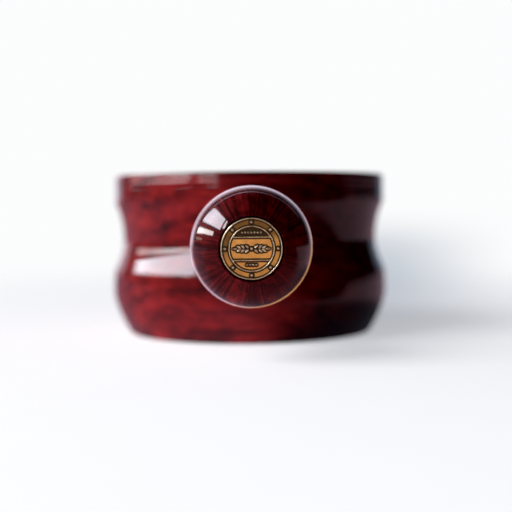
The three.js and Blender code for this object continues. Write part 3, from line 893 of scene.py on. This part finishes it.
def make_floor():
    """A pale sheet that takes a soft shadow near the object and melts into the backdrop further out.
    The light it throws back, and its mirror image close to the object, weaken towards the right."""
    bpy.ops.mesh.primitive_plane_add(size=6, location=(0, 0, 0))
    floor = bpy.context.object
    floor.name = "floor"
    n = Nodes("floor")
    place = n.position()
    x, y, _ = n.split(place)
    path = n.add("LightPath").outputs
    fibre = n.noise(place, 0.05, 3.0)
    pale = n.ramp(fibre, [(0.3, (2.07, 2.06, 2.01)), (0.7, (2.11, 2.10, 2.04))])
    lit_side = n.range(x, -9, 18, 1.0, 0.0)

    # A broad dim stretch behind the object, on the side away from the window.
    bearing = n.maths("DIVIDE", x, n.maths("ADD", y, 445.0))
    shade = n.maths("MULTIPLY", n.range(bearing, 0.27, 0.11), n.range(bearing, -0.06, 0.06))
    shade = n.maths("MULTIPLY", shade, n.range(y, -20, 180))
    shade = n.maths("MULTIPLY", shade, n.range(y, 3000, 200, smooth_step=False))
    pale = n.mix(shade, pale, (1.62, 1.71, 1.82))
    bounce = n.mix(lit_side, FLOOR_BOUNCE_RIGHT, FLOOR_BOUNCE_LEFT)
    paper = n.add("BsdfDiffuse", {"Color": n.mix(path["Is Camera Ray"], bounce, pale)}).outputs[0]

    # Only the camera sees the glow, which fills the shadow and hides the far edge. Mirror images see a
    # dim plain light instead, and every other ray the paper alone.
    away = n.add("VectorMath", {0: place}, operation="LENGTH").outputs["Value"]
    far = n.range(away, 150, 500)
    glow = n.add("Emission", {"Color": n.mix(shade, n.mix(far, NEAR_GLOW, BACKDROP), SHADE)}).outputs[0]
    part_glow = n.range(far, 0.0, 1.0, SHADOW_FILL, 1.0, smooth_step=False)
    seen = n.add("MixShader", {0: part_glow, 1: paper, 2: glow}).outputs[0]
    image = n.mix(n.range(away, 70, 125), MIRRORED_NEAR, MIRRORED_RIGHT)
    image = n.mix(lit_side, image, MIRRORED_LEFT)
    front = n.mix(n.range(x, -60, 260), MIRRORED_FRONT_LEFT, MIRRORED_FRONT_RIGHT)
    image = n.mix(n.range(y, -62, -105), image, front)
    mirrored = n.add("Emission", {"Color": image}).outputs[0]
    shader = n.add("MixShader", {0: path["Is Camera Ray"], 1: paper, 2: seen}).outputs[0]
    shader = n.add("MixShader", {0: path["Is Glossy Ray"], 1: shader, 2: mirrored}).outputs[0]
    n.set(n.tree.nodes["Material Output"].inputs["Surface"], shader)
    floor.data.materials.append(n.material)
    return floor


def lamp(name, place, facing, up, size, radiance, colour, reach=(), diffuse=True, mirrored=True):
    """A flat lamp that shines along facing, of an even radiance. With reach it lights only those pieces."""
    light = bpy.data.lights.new(name, "AREA")
    light.shape = "RECTANGLE"
    light.size, light.size_y = size
    light.color = colour
    light.energy = radiance * size[0] * size[1] * math.pi
    lamp_object = bpy.data.objects.new(name, light)
    back = -Vector(facing).normalized()
    side = Vector(up).cross(back).normalized()
    turn = Matrix((side, back.cross(side), back)).transposed()
    lamp_object.matrix_world = Matrix.Translation(place) @ turn.to_4x4()
    bpy.context.scene.collection.objects.link(lamp_object)
    lamp_object.visible_camera = False
    lamp_object.visible_diffuse = diffuse
    lamp_object.visible_glossy = mirrored
    if reach:
        group = bpy.data.collections.new(name + "_reach")
        for piece in reach:
            group.objects.link(piece)
        lamp_object.light_linking.receiver_collection = group
    return light


def window_pane(name, back, front, height, radiance, colour, reach, diffuse=False):
    """One pane of a tall window on the left. back and front are the (y, z) ends of its lower edge. They
    and its height are multiples of the window's distance."""
    back, front = Vector((-1, *back)), Vector((-1, *front))
    along = front - back
    up = Vector((-1, 0, 0)).cross(along).normalized()
    centre = (back + front + up * height) / 2 * WINDOW_DISTANCE + BALL_PLACE
    size = (along.length * WINDOW_DISTANCE, height * WINDOW_DISTANCE)
    return lamp(name, centre, (1, 0, 0), up, size, radiance, colour, reach, diffuse)


def fade_along_y(light, start, end, share):
    """Dims a lamp smoothly towards its end at y = end, in metres, down to a share of its light."""
    light.use_nodes = True
    n = Nodes(tree=light.node_tree)
    y = n.split(n.add("NewGeometry").outputs["Position"])[1]
    n.set(n.tree.nodes["Emission"].inputs["Strength"], n.range(y, start, end, 1.0, share))


def edge_card(reach):
    """A round card behind the ball. The lacquer's edge-on mirror image shows its middle as a thin line
    round the ball, lilac, and orange low on the right, and its outer band as a short arc inside that line."""
    light = lamp("edge_card", Vector((0, -60, WAIST_HEIGHT)) * MM, (0, -1, 0), (0, 0, 1),
                 (0.164, 0.164), 1.0, (1, 1, 1), reach, False)
    light.shape = "DISK"
    light.energy *= math.pi / 4
    light.use_nodes = True
    n = Nodes(tree=light.node_tree)
    x, _, z = n.split(n.add("NewGeometry").outputs["Position"])
    high = n.maths("SUBTRACT", z, WAIST_HEIGHT * MM)
    aside = n.maths("ADD", x, 0.005)  # the card sits a little to the left
    away = n.maths("SQRT", n.maths("ADD", n.maths("MULTIPLY", aside, aside), n.maths("MULTIPLY", high, high)))
    middle = n.range(away, 0.052, 0.038)
    band = n.maths("MULTIPLY", n.range(away, 0.073, 0.076), n.range(away, 0.0805, 0.0785))
    band = n.maths("MULTIPLY", band, n.range(high, 0.030, 0.045))
    band = n.maths("MULTIPLY", band, n.range(x, 0.030, -0.015, 0.5, 2.6))
    warm = n.range(n.maths("SUBTRACT", high, x), -0.012, -0.040)
    lilac = n.mix(n.range(away, 0.037, 0.048), (0.90, 0.72, 0.88), (0.95, 0.36, 0.40))
    colour = n.mix(warm, lilac, (1.05, 0.50, 0.22))
    colour = n.mix(n.range(away, 0.060, 0.070), colour, (0.86, 0.70, 0.92))
    emission = n.tree.nodes["Emission"]
    n.set(emission.inputs["Color"], colour)
    n.set(emission.inputs["Strength"], n.maths("ADD", middle, band))


def make_world():
    """The room. Each kind of ray sees what it needs: the camera a plain backdrop, mirror images a bright
    sheet behind the object in a dark room, and the wood a dim light that falls off to the right."""
    world = bpy.data.worlds.new("studio")
    bpy.context.scene.world = world
    world.use_nodes = True
    n = Nodes(tree=world.node_tree)
    x, y, z = n.split(n.add("TexCoord").outputs["Generated"])
    path = n.add("LightPath").outputs
    sheet = n.range(y, n.range(x, -0.3, 0.3, 0.67, 0.72), 0.84)
    left_wall = n.range(x, -0.55, -0.95)
    above = n.range(z, 0.0, 0.35)
    room = n.mix(above, (0.020, 0.012, 0.012), (0.006, 0.003, 0.003))
    room = n.mix(n.maths("MULTIPLY", left_wall, n.range(z, 0.22, 0.02)), room, (0.06, 0.03, 0.03))
    sheet_colour = n.mix(n.range(x, -0.2, 0.3), (1.0, 0.93, 1.08), (0.26, 0.32, 0.42))
    mirrored = n.mix(sheet, room, sheet_colour)
    side = n.range(n.maths("ADD", n.maths("MULTIPLY", x, -0.9), n.maths("MULTIPLY", y, -0.2)), 0.05, 0.95)
    ambient = n.mix(side, (0.004, 0.005, 0.007), (0.52, 0.50, 0.53))
    lit = n.mix(path["Is Glossy Ray"], ambient, mirrored)
    seen = n.mix(path["Is Camera Ray"], lit, BACKDROP)
    n.set(n.tree.nodes["Background"].inputs["Color"], seen)


def make_camera():
    camera = bpy.data.objects.new("camera", bpy.data.cameras.new("camera"))
    bpy.context.scene.collection.objects.link(camera)
    bpy.context.scene.camera = camera
    camera.data.lens = 73.5
    camera.data.sensor_width = 36
    camera.location = Vector((-2.28, -445.5, 52.1)) * MM
    yaw, pitch, roll = (math.radians(angle) for angle in (-0.63, -2.65, 0.5))
    turn = Matrix.Rotation(yaw, 4, "Z") @ Matrix.Rotation(math.radians(90) + pitch, 4, "X")
    camera.rotation_euler = (turn @ Matrix.Rotation(-roll, 4, "Z")).to_euler()
    focus = bpy.data.objects.new("focus", None)
    focus.location = Vector((0, -BALL_CENTRE - 14, WAIST_HEIGHT)) * MM
    bpy.context.scene.collection.objects.link(focus)
    camera.data.dof.use_dof = True
    camera.data.dof.focus_object = focus
    camera.data.dof.aperture_fstop = 5


def make_lights(floor):
    """Window panes for mirror images and soft key lights, set apart for the handle and the bowl."""
    handle = [made[node] for node in ("handle_grip", "medallion", "medallion_bed", "handle_collar")]
    bowl = [made["bowl"]]
    main = window_pane("window_main", (0.82, 0.52), (-0.42, 0.56), 0.54, 13, (0.94, 0.92, 1.04), handle)
    fade_along_y(main, 0.1, 0.85, 0.55)
    window_pane("window_low", (0.83, 0.24), (-0.18, 0.30), 0.12, 13, (1.0, 0.96, 0.93), handle)
    window_pane("window_front", (-0.49, 0.68), (-0.60, 0.68), 0.42, 13, (1.0, 0.97, 0.98), handle)
    window_pane("shelf_glint", (0.80, 0.12), (0.30, 0.14), 0.03, 3, (1.0, 0.7, 0.55), handle)
    window_pane("shoulder_main", (0.60, 0.32), (-0.75, 0.47), 0.60, 12, (0.94, 0.99, 1.08), bowl)
    low = window_pane("shoulder_low", (0.60, 0.14), (-0.75, 0.30), 0.12, 13, (1.0, 0.97, 0.99), bowl)
    fade_along_y(low, -0.5, 0.35, 0.3)
    window_pane("rim_far", (-0.95, 0.40), (-1.9, 0.45), 0.5, 7, (1.0, 0.95, 0.98), bowl)
    edge_card([made["handle_grip"]])
    up = (0, 0, 1)
    lamp("coin_card", (0.02, -0.62, 0.0), (0, 1, 0.05), up, (0.42, 0.26), 2.3, (1.0, 0.91, 0.78),
         [made["medallion"]], False)
    way = Vector((-0.74, -0.58, 0.36))
    lamp("key", BALL_PLACE + way * KEY_DISTANCE, -way, up, (1.10, 0.80), 2.95, LAMP_WHITE,
         handle + [floor], mirrored=False)
    way = Vector((-0.84, -0.44, 0.32))
    rest = [piece for piece in made.values() if piece not in handle]
    lamp("bowl_key", BALL_PLACE + way * KEY_DISTANCE, -way, up, (0.50, 0.40), 13.5, LAMP_WHITE,
         rest, mirrored=False)
    way = Vector((-0.9, -0.42, 0.85))
    lamp("side", BALL_PLACE + way * SIDE_DISTANCE, -way, up, (1.0, 0.7), 4.5, (0.97, 0.97, 1.0),
         mirrored=False)
    grip = [made["handle_grip"]]
    lamp("warm_low", (0.22, -0.28, 0.02), (-0.20, 0.18, 0.02), up, (0.12, 0.03), 10, (1.0, 0.45, 0.28),
         grip, mirrored=False)
    lamp("left_low", (-0.26, -0.20, 0.03), (0.26, 0.10, 0.01), up, (0.12, 0.05), 26, (1.0, 0.6, 0.55),
         grip, mirrored=False)


floor = make_floor()
make_world()
make_lights(floor)
make_camera()


def set_view():
    """Plain colours, with slightly deeper blacks."""
    view = bpy.context.scene.view_settings
    view.view_transform = "Standard"
    view.look = "None"
    view.use_curve_mapping = True
    view.curve_mapping.black_level = (0.002, 0.002, 0.002)
    view.curve_mapping.update()


set_view()
